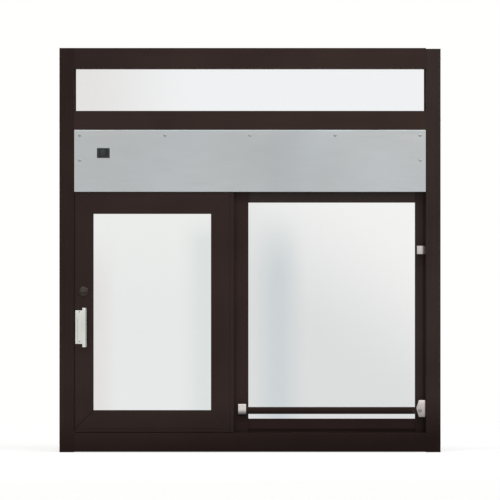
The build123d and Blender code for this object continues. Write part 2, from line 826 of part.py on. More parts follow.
def model():
    """Every piece of the window by its node name."""
    nodes = {
        "left_jamb": jamb(-1),
        "right_jamb": jamb(1),
        "head": head(),
        "transom_bar": transom_bar(),
        "sill": sill(),
        "transom_glass": transom_glass(),
        "transom_side_stops": Compound(children=[*transom_stop(-1).solids(), *transom_stop(1).solids()]),
        "header_cover": header_cover(),
        "cover_top_cleat": top_cleat(),
        "cover_left_cleat": side_cleat(-1),
        "cover_right_cleat": side_cleat(1),
        "header_outer_panel": header_outer_panel(),
        "header_soffit": header_soffit(),
        "header_track": header_track(),
        "left_hanger": hanger(sash_left + hanger_inset),
        "right_hanger": hanger(sash_right - hanger_inset),
        "sash_glass": sash_glass(),
        "sash_glazing_beads": sash_beads(),
        "sash_guide_channel": sash_guide_channel(),
        "sash_hanger_rail": sash_hanger_rail(),
        "sash_interlock": sash_interlock(),
        "bottom_guide": bottom_guide(),
        "fixed_glass": fixed_glass(),
        "glazing_gaskets": glazing_gaskets(),
        "fixed_glazing_beads": fixed_beads(),
        "security_bar": security_bar(),
        "bar_tip": bar_tip(),
        "bar_pivot_end": bar_pivot_end(),
        "pivot_bracket": pivot_bracket(),
        "pivot_pin": pivot_pin(),
        "saddle_hook": saddle_hook(),
        "parking_clip": parking_clip(),
        "pull_handle": pull_handle(),
        "lock_collar": lock_collar(),
        "thumb_turn": thumb_turn(),
        "switch_bezel": switch_bezel(),
        "switch_rocker": switch_rocker(),
    }
    nodes.update(sash_frame())
    nodes.update(fixed_frame())
    return nodes


os.makedirs("parts", exist_ok=True)
for node, solid in model().items():
    export_step(solid, f"parts/{node}.step")
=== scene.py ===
import math

import bmesh
import bpy
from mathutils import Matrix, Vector


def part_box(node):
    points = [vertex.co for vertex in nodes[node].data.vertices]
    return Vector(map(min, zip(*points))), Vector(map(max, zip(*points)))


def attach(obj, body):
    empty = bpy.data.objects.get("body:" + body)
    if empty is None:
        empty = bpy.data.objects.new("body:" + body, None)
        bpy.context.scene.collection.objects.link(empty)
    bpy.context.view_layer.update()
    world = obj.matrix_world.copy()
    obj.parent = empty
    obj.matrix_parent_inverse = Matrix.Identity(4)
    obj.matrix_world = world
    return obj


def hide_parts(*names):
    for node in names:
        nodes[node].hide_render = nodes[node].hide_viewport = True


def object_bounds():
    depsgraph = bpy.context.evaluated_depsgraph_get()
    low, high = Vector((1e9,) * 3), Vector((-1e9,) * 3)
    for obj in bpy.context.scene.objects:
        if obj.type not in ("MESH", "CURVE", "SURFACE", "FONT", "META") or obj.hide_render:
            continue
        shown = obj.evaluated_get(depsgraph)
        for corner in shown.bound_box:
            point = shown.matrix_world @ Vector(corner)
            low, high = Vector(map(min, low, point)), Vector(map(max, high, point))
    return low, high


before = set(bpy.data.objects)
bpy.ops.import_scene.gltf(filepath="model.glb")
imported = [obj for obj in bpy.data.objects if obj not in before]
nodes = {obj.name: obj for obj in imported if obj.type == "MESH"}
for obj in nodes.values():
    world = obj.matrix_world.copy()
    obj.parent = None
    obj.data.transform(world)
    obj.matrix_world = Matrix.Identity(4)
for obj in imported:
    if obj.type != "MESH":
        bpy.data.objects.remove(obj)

cad_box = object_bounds()
MM = 0.001

to_room = (0.0, -1.0, 0.0)
to_street = (0.0, 1.0, 0.0)
to_left = (-1.0, 0.0, 0.0)
to_right = (1.0, 0.0, 0.0)
downward = (0.0, 0.0, -1.0)

# Camera: the photo is square and straight on, at one width in millimetres for each pixel
photo_pixels = 500
photo_mm_per_pixel = 3.165
sill_underside_pixel = 451.76
camera_distance = 40.0
camera_reach = 200.0
sensor_width = 36.0

# Studio: the floor ends where the bottom rails hide its far edge from the camera
floor_reach = 60.0
floor_far_edge = 6.2
floor_gap = 0.2 * MM
floor_glow = 0.470
room_strength = 0.42
sun_strength = 2.1
sun_softness = math.radians(40)
softbox_power = 48.0
softbox_width = 1.6
softbox_height = 1.2

# Sections and sheets
glass_bite = 8.0 * MM
glazing_lip = 12.0 * MM
interlock_lap = 12.0 * MM
leaf_sheet = 3.0 * MM
flange_sheet = 3.0 * MM
cradle_sheet = 3.0 * MM
bracket_sheet = 4.0 * MM

# Seams and pile seals
tight_seam_width = 0.3 * MM
open_seam_width = 1.3 * MM
seam_depth = 0.2 * MM
seam_proud = 0.05 * MM
room_pile_inset = 3.5 * MM
street_pile_inset = 9.0 * MM
pile_end_gap = 1.0 * MM
tuft_share = 0.96
tuft_lean = 0.16
tuft_twist = 1.5

# Screws
cover_screws_across = 5
cover_screw_inset = 18.0 * MM
side_screw_drop = 97.0 * MM
handle_screw_inset = 13.2 * MM
handle_screw_rises = (17.5 * MM, 112.5 * MM)
fitting_screw_inset = 6.0 * MM
clip_screw_inset = 3.0 * MM
joint_screw_depths = (-0.034, 0.034)

# Painted shade low on the bronze, wisps in the panes' painted reflection, and painted shade on the bar's
# underside and the hook's foot
low_shade_rise = (-0.02, 0.13)
low_shade_slope = 0.06
low_shade_wander = 0.04
reflection_wisp_share = 0.10
bar_shade_rise = 19.0 * MM
bar_shade_share = 0.30
hook_shade_rise = 22.0 * MM

# Depth of each finish's relief
die_line_depth = 0.03 * MM
brushing_depth = 0.03 * MM
tumbled_depth = 0.02 * MM
moulded_depth = 0.05 * MM
rubbed_depth = 0.04 * MM
pile_depth = 0.1 * MM

# Rounding of the hardware's edges
weld_distance = 0.005 * MM
flat_angle = math.radians(0.8)
sharp_angle = math.radians(32)
rounded_angle = math.radians(40)


class Nodes:
    """Adds and links the nodes of one tree."""

    def __init__(self, tree):
        self.tree = tree

    def add(self, kind, inputs=None, **settings):
        """A node with its settings and inputs; a list links several sockets to one input."""
        node = self.tree.nodes.new(kind)
        for name, value in settings.items():
            setattr(node, name, value)
        for key, value in (inputs or {}).items():
            values = value if isinstance(value, list) else [value]
            for item in values:
                if isinstance(item, bpy.types.NodeSocket):
                    self.tree.links.new(item, node.inputs[key])
                else:
                    node.inputs[key].default_value = item
        return node

    def math(self, operation, first, second=0.0):
        return self.add("ShaderNodeMath", {0: first, 1: second}, operation=operation).outputs[0]

    def seen_rays(self):
        """1 for what is seen straight, in metal or through glass, and 0 for the light on the object."""
        rays = self.add("ShaderNodeLightPath").outputs
        mirrored = self.math("MAXIMUM", rays["Is Camera Ray"], rays["Is Glossy Ray"])
        return self.math("MAXIMUM", mirrored, rays["Is Transmission Ray"])


class Finish(Nodes):
    """A material whose colour, roughness and relief come from patterns on Object coordinates."""

    def __init__(self, name, metallic=0.0, roughness=0.5, **constants):
        self.material = bpy.data.materials.new(name)
        self.material.use_nodes = True
        super().__init__(self.material.node_tree)
        self.tree.nodes.clear()
        self.shader = self.add("ShaderNodeBsdfPrincipled", {"Metallic": metallic, "Roughness": roughness})
        for socket, value in constants.items():
            self.shader.inputs[socket.replace("_", " ")].default_value = value
        self.add("ShaderNodeOutputMaterial", {"Surface": self.shader.outputs["BSDF"]})
        self.object_place = self.add("ShaderNodeTexCoord").outputs["Object"]

    def place_on(self, letter):
        """Where a point lies on one axis of the object."""
        return self.add("ShaderNodeSeparateXYZ", {0: self.object_place}).outputs[letter]

    def noise(self, stretch=(1, 1, 1), shift=(0, 0, 0), scale=1.0, detail=2.0):
        place = self.add("ShaderNodeMapping", {
            "Vector": self.object_place, "Scale": stretch, "Location": shift})
        pattern = self.add("ShaderNodeTexNoise", {
            "Vector": place.outputs[0], "Scale": scale, "Detail": detail})
        return pattern.outputs["Fac"]

    def together(self, first, first_share, second, second_share):
        """Two patterns added up, each at its share."""
        return self.math("ADD", self.math("MULTIPLY", first, first_share),
                         self.math("MULTIPLY", second, second_share))

    def spread(self, value, low=0.0, high=1.0, start=0.3, end=0.7, course="LINEAR"):
        """A value's stretch from start to end, laid over the range from low to high."""
        node = self.add("ShaderNodeMapRange", {
            "Value": value, "From Min": start, "From Max": end, "To Min": low, "To Max": high},
            interpolation_type=course)
        return node.outputs["Result"]

    def fading(self, value, start, end, course="LINEAR"):
        """1 up to the start and 0 from the end."""
        return self.spread(value, 1.0, 0.0, start, end, course)

    def turned(self, direction, start, end):
        """How far a surface is turned toward a direction: 0 up to the start and 1 from the end."""
        normal = self.add("ShaderNodeNewGeometry").outputs["Normal"]
        share = self.add("ShaderNodeVectorMath", {0: normal, 1: direction}, operation="DOT_PRODUCT")
        return self.spread(share.outputs["Value"], start=start, end=end)

    def stripe(self, middle, even_half, whole_half):
        """An upright stripe: 1 within its even half width, fading out to its whole half width."""
        away = self.math("ABSOLUTE", self.math("SUBTRACT", self.place_on("X"), middle))
        return self.fading(away, even_half, whole_half, "SMOOTHSTEP")

    def blend(self, factor, first, second):
        return self.add("ShaderNodeMix", {0: factor, 6: first, 7: second}, data_type="RGBA").outputs[2]

    def tinted_or_shaded(self, colour, where, tint_or_shade):
        """A colour multiplied by a tint of its own where a pattern asks for it, and by painted shade where a
        place or a side asks for it.
        """
        node = self.add("ShaderNodeMix", {0: where, 6: colour, 7: tint_or_shade}, data_type="RGBA",
                        blend_type="MULTIPLY")
        return node.outputs[2]

    def dulled(self, colour, where, share):
        """A colour taken down to a share of its lightness."""
        return self.tinted_or_shaded(colour, where, rgb(share, share, share))

    def colour(self, value):
        self.tree.links.new(value, self.shader.inputs["Base Color"])

    def roughness(self, value):
        self.tree.links.new(value, self.shader.inputs["Roughness"])

    def relief(self, height, depth, strength=0.5):
        bump = self.add("ShaderNodeBump", {"Height": height, "Distance": depth, "Strength": strength})
        self.tree.links.new(bump.outputs["Normal"], self.shader.inputs["Normal"])


def rgb(red, green, blue):
    return (red, green, blue, 1.0)


def shade(colour, share):
    """The same hue at a share of its lightness."""
    return rgb(*(part * share for part in colour[:3]))


def along(axis, fine, coarse):
    """Stretch of a grain that runs along one axis: fine across it and coarse along it."""
    return tuple(coarse if letter == axis else fine for letter in "xyz")


bronze_dark = rgb(0.0205, 0.0128, 0.0112)
bronze_light = rgb(0.0298, 0.0190, 0.0164)
# Painted shade: the dark tone the bronze takes low down
low_shade_tone = rgb(0.0112, 0.0064, 0.0055)


def extruded_bronze(name, axis, tone_and_light=1.0, dark=bronze_dark, light=bronze_light, underside=None):
    """Dark bronze anodising on an extrusion: die lines along it, clouds, a fine grain, and painted shade low
    down that rises toward the right.

    The tone and light is how light this extrusion is made: its own tone, and on the left jamb and the transom
    bar painted light that makes one darker and the other lighter; an underside gets painted shade between two
    heights."""
    finish = Finish(name, metallic=0.9, Specular_IOR_Level=0.2)
    lines = finish.noise(along(axis, fine=900, coarse=4), detail=3.0)
    clouds = finish.noise(scale=4.5, shift=(0.3, 0.1, 0.7))
    grain = finish.noise(scale=2600, detail=1.0)
    tone = finish.spread(finish.together(lines, 0.45, clouds, 0.55))
    before_low_shade = finish.blend(tone, shade(dark, tone_and_light), shade(light, tone_and_light))
    height = finish.place_on("Z")
    if underside:
        # Painted shade on the underside, fading out between two heights
        before_low_shade = finish.dulled(before_low_shade, finish.fading(height, *underside), bar_shade_share)
    # Painted shade: darker below a height that wanders with noise and rises toward the right
    low_shade_noise = finish.noise(scale=11, shift=(0.6, 0.2, 0.4), detail=4.0)
    rise = finish.together(low_shade_noise, low_shade_wander, finish.place_on("X"), low_shade_slope)
    low_shade = finish.fading(finish.math("SUBTRACT", height, rise), *low_shade_rise)
    finish.colour(finish.blend(low_shade, before_low_shade, low_shade_tone))
    rough = finish.spread(finish.math("ADD", lines, grain), low=0.36, high=0.50, start=0.6, end=1.4)
    finish.roughness(rough)
    finish.relief(finish.together(lines, 0.7, grain, 0.3), die_line_depth)
    return finish.material


def brushed(name, axis, dark, light, tint, rough=(0.30, 0.44), metallic=0.85, side=1.0, band=None):
    """Bright metal with brushing lines along one axis, faint patches of a tint and painted shade on its right
    side.

    A band is a duller upright stripe, with its middle, its even and whole half widths, and its share."""
    finish = Finish(name, metallic=metallic)
    lines = finish.noise(along(axis, fine=1400, coarse=9), detail=4.0)
    clouds = finish.noise(scale=3.2, shift=(1.7, 0.4, 0.2))
    patches = finish.noise(scale=5.5, shift=(0.9, 0.3, 1.3))
    base = finish.blend(finish.spread(finish.together(lines, 0.5, clouds, 0.5)), dark, light)
    base = finish.tinted_or_shaded(base, finish.spread(patches), tint)
    if band:
        stripe = finish.stripe(band["middle"], band["even_half"], band["whole_half"])
        base = finish.dulled(base, stripe, band["share"])
    # Painted shade on faces turned to the right, at the side's share
    finish.colour(finish.dulled(base, finish.turned(to_right, start=0.10, end=0.50), side))
    finish.roughness(finish.spread(lines, *rough))
    finish.relief(lines, brushing_depth, strength=0.4)
    return finish.material


def cast_satin(name, dark, light, metallic=0.8, rough=(0.30, 0.42), underside=1.0, foot=None):
    """Satin hardware: tumbled metal with a fine even grain, a few clouds and painted shade on its underside.

    A foot is the two heights between which painted shade deepens downward, and the share left at the lower."""
    finish = Finish(name, metallic=metallic)
    grain = finish.noise(scale=1900, detail=3.0)
    clouds = finish.noise(scale=55, shift=(0.2, 0.8, 0.5), detail=3.0)
    base = finish.blend(finish.spread(clouds), dark, light)
    # Painted shade on faces turned downward
    base = finish.dulled(base, finish.turned(downward, start=0.05, end=0.70), underside)
    # Painted shade toward the foot
    if foot:
        lower, upper, share = foot
        base = finish.dulled(base, finish.fading(finish.place_on("Z"), lower, upper), share)
    finish.colour(base)
    finish.roughness(finish.spread(grain, *rough))
    finish.relief(grain, tumbled_depth, strength=0.25)
    return finish.material


def moulding(name, dark, light, gloss=0.25):
    """Moulded plastic or rubber with a fine spark-eroded grain."""
    finish = Finish(name, Specular_IOR_Level=gloss)
    grain = finish.noise(scale=1500)
    clouds = finish.noise(scale=40)
    finish.colour(finish.blend(finish.spread(clouds), dark, light))
    finish.roughness(finish.spread(grain, low=0.45, high=0.62))
    finish.relief(grain, moulded_depth)
    return finish.material


def worn_and_highlit_bronze(name, dark, light, rubbed_and_highlit):
    """Bronze finish of the lock, worn bright where its edges stand proud: partly wear, partly a painted
    highlight on those edges.
    """
    finish = Finish(name, metallic=0.85, Specular_IOR_Level=0.3)
    pointed = finish.add("ShaderNodeNewGeometry").outputs["Pointiness"]
    rub = finish.noise(scale=260, detail=3.0)
    edges = finish.spread(pointed, start=0.52, end=0.60)
    # Partly wear, partly painted highlight on the proud edges
    wear_and_highlight = finish.math("MULTIPLY", edges, finish.spread(rub, low=0.4))
    base = finish.blend(finish.spread(finish.noise(scale=90)), dark, light)
    finish.colour(finish.blend(wear_and_highlight, base, rubbed_and_highlit))
    finish.roughness(finish.spread(rub, low=0.30, high=0.44))
    finish.relief(rub, rubbed_depth, strength=0.3)
    return finish.material


def float_glass(name, clear, reflection_tone, start, slope, reflection_streaks=()):
    """A clear pane with a painted reflection that darkens it along a slope from a start, and soft upright
    streaks of painted reflection.

    A reflection streak has a middle and a half width across, a foot and a top between which it fades, and a
    tint."""
    finish = Finish(name, roughness=0.0, Transmission_Weight=1.0, IOR=1.45)
    offset = finish.add("ShaderNodeVectorMath", {0: finish.object_place, 1: start}, operation="SUBTRACT")
    run = finish.add("ShaderNodeVectorMath", {0: offset.outputs["Vector"], 1: slope}, operation="DOT_PRODUCT")
    # Painted reflection, with wisps of noise in it
    reflection_wisps = finish.noise(stretch=(1.0, 1.0, 0.5), shift=(0.35, 0.0, 0.1), scale=3.0)
    depth = finish.math("ADD", run.outputs["Value"], finish.math("MULTIPLY", reflection_wisps, reflection_wisp_share))
    pane = finish.blend(finish.spread(depth, start=0.05, end=1.05, course="SMOOTHSTEP"), clear, reflection_tone)
    for reflection_streak in reflection_streaks:
        across = finish.stripe(reflection_streak["middle"], 0.0, reflection_streak["half_width"])
        upward = finish.fading(finish.place_on("Z"), reflection_streak["foot"], reflection_streak["top"], "SMOOTHSTEP")
        pane = finish.blend(finish.math("MULTIPLY", across, upward), pane, reflection_streak["tint"])
    finish.colour(pane)
    return finish.material


def pile_fabric(name, dark, light, gloss=0.5):
    """Dull black with fine flecks: the pile of the brush seals, or the shade inside a seam."""
    finish = Finish(name, roughness=0.9, Specular_IOR_Level=gloss)
    flecks = finish.noise(scale=1800)
    finish.colour(finish.blend(finish.spread(flecks), dark, light))
    finish.relief(flecks, pile_depth)
    return finish.material


# Finishes: the extrusions differ in tone and in painted light, and the bar, the hook and the bracket get
# painted shade toward their feet
bar_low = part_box("security_bar")[0]
hook_low, hook_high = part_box("saddle_hook")
bracket_low, bracket_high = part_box("pivot_bracket")
bronze_upright = extruded_bronze("bronze_extrusion_upright", "z")
bronze_level = extruded_bronze("bronze_extrusion_level", "x")
# Painted light: the left jamb darker and the transom bar lighter, as light falls from the upper right; the
# right side and the bar are given their own tone
bronze_left_jamb = extruded_bronze("bronze_left_jamb", "z", tone_and_light=0.82)
bronze_right_side = extruded_bronze("bronze_right_side", "z", tone_and_light=1.02,
                                    dark=rgb(0.0205, 0.0138, 0.0123), light=rgb(0.0298, 0.0205, 0.0180))
bronze_transom = extruded_bronze("bronze_transom_bar", "x", tone_and_light=1.13)
# Painted light: the fixed light's top and bottom rails, set back in the frame, are made lighter than the
# other extrusions to stand in for light where the recess shades them; the bottom rail is also redder
bronze_top_rail = extruded_bronze("bronze_fixed_top_rail", "x",
                                  dark=rgb(0.0290, 0.0215, 0.0195), light=rgb(0.0405, 0.0315, 0.0285))
bronze_bottom_rail = extruded_bronze("bronze_fixed_bottom_rail", "x",
                                     dark=rgb(0.0275, 0.0155, 0.0145), light=rgb(0.0390, 0.0232, 0.0215))
# Painted shade: the bar darker along its underside
bronze_bar = extruded_bronze("bronze_security_bar", "x", tone_and_light=1.06,
                             underside=(bar_low.z, bar_low.z + bar_shade_rise))
clear_anodised = brushed("clear_anodised_sheet", "x", rgb(0.352, 0.374, 0.392), rgb(0.416, 0.436, 0.450),
                         tint=rgb(1.0, 0.975, 0.935),
                         band={"middle": 0.106, "even_half": 0.015, "whole_half": 0.085, "share": 0.955})
# Painted shade: the handle's grip darker on its right side
satin_handle = brushed("satin_handle_extrusion", "z", rgb(0.565, 0.575, 0.545), rgb(0.66, 0.67, 0.63),
                       tint=rgb(1.0, 0.99, 0.985), rough=(0.18, 0.28), metallic=0.92, side=0.6)
# Painted shade: the hook darker on its underside and toward its foot
satin_hook = cast_satin("satin_bar_hook", rgb(0.505, 0.459, 0.437), rgb(0.592, 0.543, 0.520),
                        metallic=0.75, rough=(0.28, 0.38), underside=0.42,
                        foot=(hook_low.z, hook_low.z + hook_shade_rise, 0.15))
# Painted shade: the clip and the bracket by the right jamb are given darker colours than the hook for the
# weaker light there, and the bracket darkens toward its foot
satin_clip = cast_satin("satin_jamb_clip", rgb(0.39, 0.353, 0.335), rgb(0.458, 0.419, 0.402),
                        metallic=0.75, rough=(0.30, 0.40), underside=0.42)
satin_bracket = cast_satin("satin_pivot_bracket", rgb(0.46, 0.416, 0.396), rgb(0.54, 0.494, 0.474),
                           metallic=0.75, rough=(0.30, 0.40), underside=0.42,
                           foot=(bracket_low.z, bracket_high.z, 0.54))
zinc_steel = cast_satin("zinc_plated_steel", rgb(0.40, 0.40, 0.40), rgb(0.55, 0.55, 0.56))
screw_steel = cast_satin("stainless_screw", rgb(0.25, 0.26, 0.25), rgb(0.31, 0.32, 0.31),
                         metallic=0.7, rough=(0.42, 0.54))
pin_steel = cast_satin("pin_steel_satin", rgb(0.19, 0.173, 0.166), rgb(0.235, 0.214, 0.207),
                       metallic=0.65, rough=(0.20, 0.30))
bronze_screw = cast_satin("bronze_coated_screw", rgb(0.030, 0.021, 0.019), rgb(0.050, 0.037, 0.033))
# Painted reflection: each pane darkens along a slope and in upright streaks
transom_pane = float_glass("float_glass_transom", rgb(0.868, 0.876, 0.893), rgb(0.770, 0.758, 0.756),
                           start=(-0.15, 0.0, 1.145), slope=(-2.5, 0.0, 0.0))
sash_pane = float_glass("float_glass_sash", rgb(0.828, 0.838, 0.831), rgb(0.792, 0.806, 0.808),
                        start=(-0.42, -0.044, 0.80), slope=(0.0, 0.0, -2.5),
                        reflection_streaks=[{"middle": -0.137, "half_width": 0.10, "foot": 0.65, "top": 0.76,
                                  "tint": rgb(0.704, 0.745, 0.737)},
                                 {"middle": -0.50, "half_width": 0.10, "foot": 0.48, "top": 0.72,
                                  "tint": rgb(0.752, 0.730, 0.730)}])
fixed_pane = float_glass("float_glass_fixed", rgb(0.882, 0.890, 0.882), rgb(0.704, 0.713, 0.721),
                         start=(0.50, 0.001, 0.749), slope=(-1.09, 0.0, -1.56),
                         reflection_streaks=[{"middle": 0.088, "half_width": 0.10, "foot": 0.54, "top": 0.79,
                                   "tint": rgb(0.598, 0.642, 0.665)}])
gasket_rubber = moulding("gasket_rubber_black", rgb(0.008, 0.008, 0.008), rgb(0.016, 0.016, 0.016))
black_plastic = moulding("switch_plastic_black", rgb(0.0085, 0.0105, 0.0104), rgb(0.019, 0.022, 0.0215))
bar_moulding = moulding("bar_end_moulding", rgb(0.010, 0.0070, 0.0062), rgb(0.015, 0.0108, 0.0096),
                        gloss=0.10)
# Partly painted highlight: the lock's edges lighter as if catching light, partly wear
lock_bronze = worn_and_highlit_bronze("lock_bronze_worn", rgb(0.029, 0.022, 0.019), rgb(0.047, 0.037, 0.032),
                          rubbed_and_highlit=rgb(0.13, 0.115, 0.105))
seal_pile = pile_fabric("seal_pile_black", rgb(0.010, 0.009, 0.009), rgb(0.030, 0.028, 0.027))
seam_shadow = pile_fabric("seam_shadow_dark", rgb(0.0015, 0.0010, 0.0010), rgb(0.0030, 0.0022, 0.0020),
                          gloss=0.0)

finish_of = {
    bronze_left_jamb: ["left_jamb"],
    bronze_transom: ["transom_bar"],
    bronze_bar: ["security_bar"],
    bronze_right_side: ["right_jamb", "fixed_right_stile"],
    bronze_upright: ["sash_left_stile", "sash_right_stile", "sash_interlock", "fixed_left_stile",
                     "transom_side_stops"],
    bronze_level: ["head", "sill", "header_outer_panel", "header_soffit", "cover_top_cleat",
                   "cover_left_cleat", "cover_right_cleat", "sash_top_rail", "sash_bottom_rail",
                   "sash_hanger_rail", "sash_guide_channel", "sash_glazing_beads", "fixed_glazing_beads"],
    bronze_top_rail: ["fixed_top_rail"],
    bronze_bottom_rail: ["fixed_bottom_rail"],
    clear_anodised: ["header_cover", "header_track"],
    zinc_steel: ["pivot_pin", "left_hanger", "right_hanger"],
    transom_pane: ["transom_glass"],
    sash_pane: ["sash_glass"],
    fixed_pane: ["fixed_glass"],
    gasket_rubber: ["glazing_gaskets"],
    black_plastic: ["bottom_guide"],
    bar_moulding: ["bar_tip", "bar_pivot_end"],
}
for material, names in finish_of.items():
    for name in names:
        for slot in nodes[name].material_slots:
            slot.material = material


def settle(piece, body):
    """Smooth a new piece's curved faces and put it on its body."""
    piece.data.shade_smooth()
    piece.data.set_sharp_from_angle(angle=sharp_angle)
    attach(piece, body)


def new_piece(name, mesh, material=None):
    if material:
        mesh.materials.clear()
        mesh.materials.append(material)
    piece = bpy.data.objects.new(name, mesh)
    bpy.context.scene.collection.objects.link(piece)
    return piece


def plain_copy(piece, name):
    """The piece's evaluated mesh as a new piece without modifiers; the old one goes."""
    depsgraph = bpy.context.evaluated_depsgraph_get()
    mesh = bpy.data.meshes.new_from_object(piece.evaluated_get(depsgraph))
    bpy.data.objects.remove(piece)
    mesh.name = name
    return new_piece(name, mesh)


def softened(node, name, material, body, edge, segments=3):
    """A node's shape with its sharp edges rounded, which stands for the node."""
    mesh = bpy.data.meshes.new(name)
    shape = bmesh.new()
    shape.from_mesh(nodes[node].data)
    bmesh.ops.remove_doubles(shape, verts=shape.verts, dist=weld_distance)
    bmesh.ops.dissolve_limit(shape, angle_limit=flat_angle, verts=shape.verts, edges=shape.edges)
    shape.to_mesh(mesh)
    shape.free()
    piece = new_piece(name + "_rough", mesh, material)
    bevel = piece.modifiers.new("edges", "BEVEL")
    bevel.width = edge
    bevel.segments = segments
    bevel.limit_method = "ANGLE"
    bevel.angle_limit = rounded_angle
    piece = plain_copy(piece, name)
    settle(piece, body)
    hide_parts(node)


def grow(name, tree, source, sizes, body):
    """Run a tree of Geometry Nodes on a source mesh and keep the result as one plain piece."""
    piece = new_piece(name + "_source", source)
    modifier = piece.modifiers.new("grow", "NODES")
    modifier.node_group = tree
    for item in tree.interface.items_tree:
        if item.in_out == "INPUT" and item.name in sizes:
            modifier[item.identifier] = sizes[item.name]
    settle(plain_copy(piece, name), body)


def points_mesh(name, places, edges=()):
    mesh = bpy.data.meshes.new(name)
    mesh.from_pydata(places, edges, [])
    return mesh


def runs_mesh(name, runs):
    """A mesh of separate straight runs, each from one place to another."""
    places = [place for run in runs for place in run]
    return points_mesh(name, places, [(index, index + 1) for index in range(0, len(places), 2)])


def open_tree(name, inputs):
    """An empty tree of Geometry Nodes with named inputs; returns its nodes and its input sockets."""
    tree = bpy.data.node_groups.new(name, "GeometryNodeTree")
    tree.interface.new_socket("Geometry", in_out="OUTPUT", socket_type="NodeSocketGeometry")
    tree.interface.new_socket("Geometry", in_out="INPUT", socket_type="NodeSocketGeometry")
    kinds = {float: "NodeSocketFloat", int: "NodeSocketInt", tuple: "NodeSocketVector"}
    for title, value in inputs.items():
        socket = tree.interface.new_socket(title, in_out="INPUT", socket_type=kinds[type(value)])
        socket.default_value = value
    make = Nodes(tree)
    return make, make.add("NodeGroupInput").outputs


def close_tree(make, geometry, material):
    """End a tree in Realize Instances and Set Material."""
    real = make.add("GeometryNodeRealizeInstances", {"Geometry": geometry})
    final = make.add("GeometryNodeSetMaterial", {"Geometry": real.outputs[0], "Material": material})
    make.add("NodeGroupOutput", {"Geometry": final.outputs[0]})
    return make.tree


def screw_tree(material):
    """Domed screw heads with a cross recess, one on each point, turned at random about their axis."""
    make, given = open_tree("screw_heads", {
        "Head Radius": 4.0 * MM, "Head Height": 2.4 * MM, "Dome": 1.2 * MM, "Recess Length": 4.4 * MM,
        "Recess Width": 1.1 * MM, "Recess Depth": 1.3 * MM, "Widest Turn": 3.1, "Facing": to_room, "Seed": 7})
    disc = make.add("GeometryNodeMeshCylinder", {
        "Vertices": 32, "Side Segments": 2, "Fill Segments": 5,
        "Radius": given["Head Radius"], "Depth": given["Head Height"]})
    place = make.add("GeometryNodeInputPosition").outputs[0]
    parts = make.add("ShaderNodeSeparateXYZ", {0: place}).outputs
    squares = [make.math("POWER", parts[index], 2.0) for index in (0, 1)]
    reach = make.math("SQRT", make.math("ADD", *squares))
    share = make.math("POWER", make.math("DIVIDE", reach, given["Head Radius"]), 3.0)
    above = make.math("GREATER_THAN", parts[2], 0.0)
    drop = make.math("MULTIPLY", make.math("MULTIPLY", share, given["Dome"]), above)
    lift = make.math("SUBTRACT", make.math("MULTIPLY", given["Head Height"], 0.5), drop)
    offset = make.add("ShaderNodeCombineXYZ", {2: lift}).outputs[0]
    head = make.add("GeometryNodeSetPosition", {"Geometry": disc.outputs["Mesh"], "Offset": offset})
    deep = make.math("MULTIPLY", given["Recess Depth"], 2.0)
    top = make.add("ShaderNodeCombineXYZ", {2: given["Head Height"]}).outputs[0]
    cutters = []
    for across, wide in (("Recess Length", "Recess Width"), ("Recess Width", "Recess Length")):
        size = make.add("ShaderNodeCombineXYZ", {0: given[across], 1: given[wide], 2: deep})
        cube = make.add("GeometryNodeMeshCube", {"Size": size.outputs[0]})
        cutter = make.add("GeometryNodeTransform", {"Geometry": cube.outputs[0], "Translation": top})
        cutters.append(cutter.outputs[0])
    cut = make.add("GeometryNodeMeshBoolean", {"Mesh 1": head.outputs[0], "Mesh 2": cutters},
                   operation="DIFFERENCE")
    toward = make.add("FunctionNodeAlignRotationToVector", {"Vector": given["Facing"]}, axis="Z")
    turn = make.add("FunctionNodeRandomValue", {2: 0.0, 3: given["Widest Turn"], "Seed": given["Seed"]})
    spin = make.add("FunctionNodeAxisAngleToRotation", {"Angle": turn.outputs[1]})
    rotation = make.add("FunctionNodeRotateRotation", {0: toward.outputs[0], 1: spin.outputs[0]},
                        rotation_space="LOCAL")
    heads = make.add("GeometryNodeInstanceOnPoints", {
        "Points": given["Geometry"], "Instance": cut.outputs[0], "Rotation": rotation.outputs[0]})
    return close_tree(make, heads.outputs[0], material)


def seam_tree(material):
    """A fine dark line, nearly flush, along each edge of the source."""
    make, given = open_tree("seam_lines", {"Seam Width": tight_seam_width, "Seam Depth": seam_depth})
    path = make.add("GeometryNodeMeshToCurve", {"Mesh": given["Geometry"]})
    profile = make.add("GeometryNodeCurvePrimitiveQuadrilateral", {
        "Width": given["Seam Depth"], "Height": given["Seam Width"]})
    line = make.add("GeometryNodeCurveToMesh", {
        "Curve": path.outputs[0], "Profile Curve": profile.outputs[0], "Fill Caps": True})
    return close_tree(make, line.outputs[0], material)


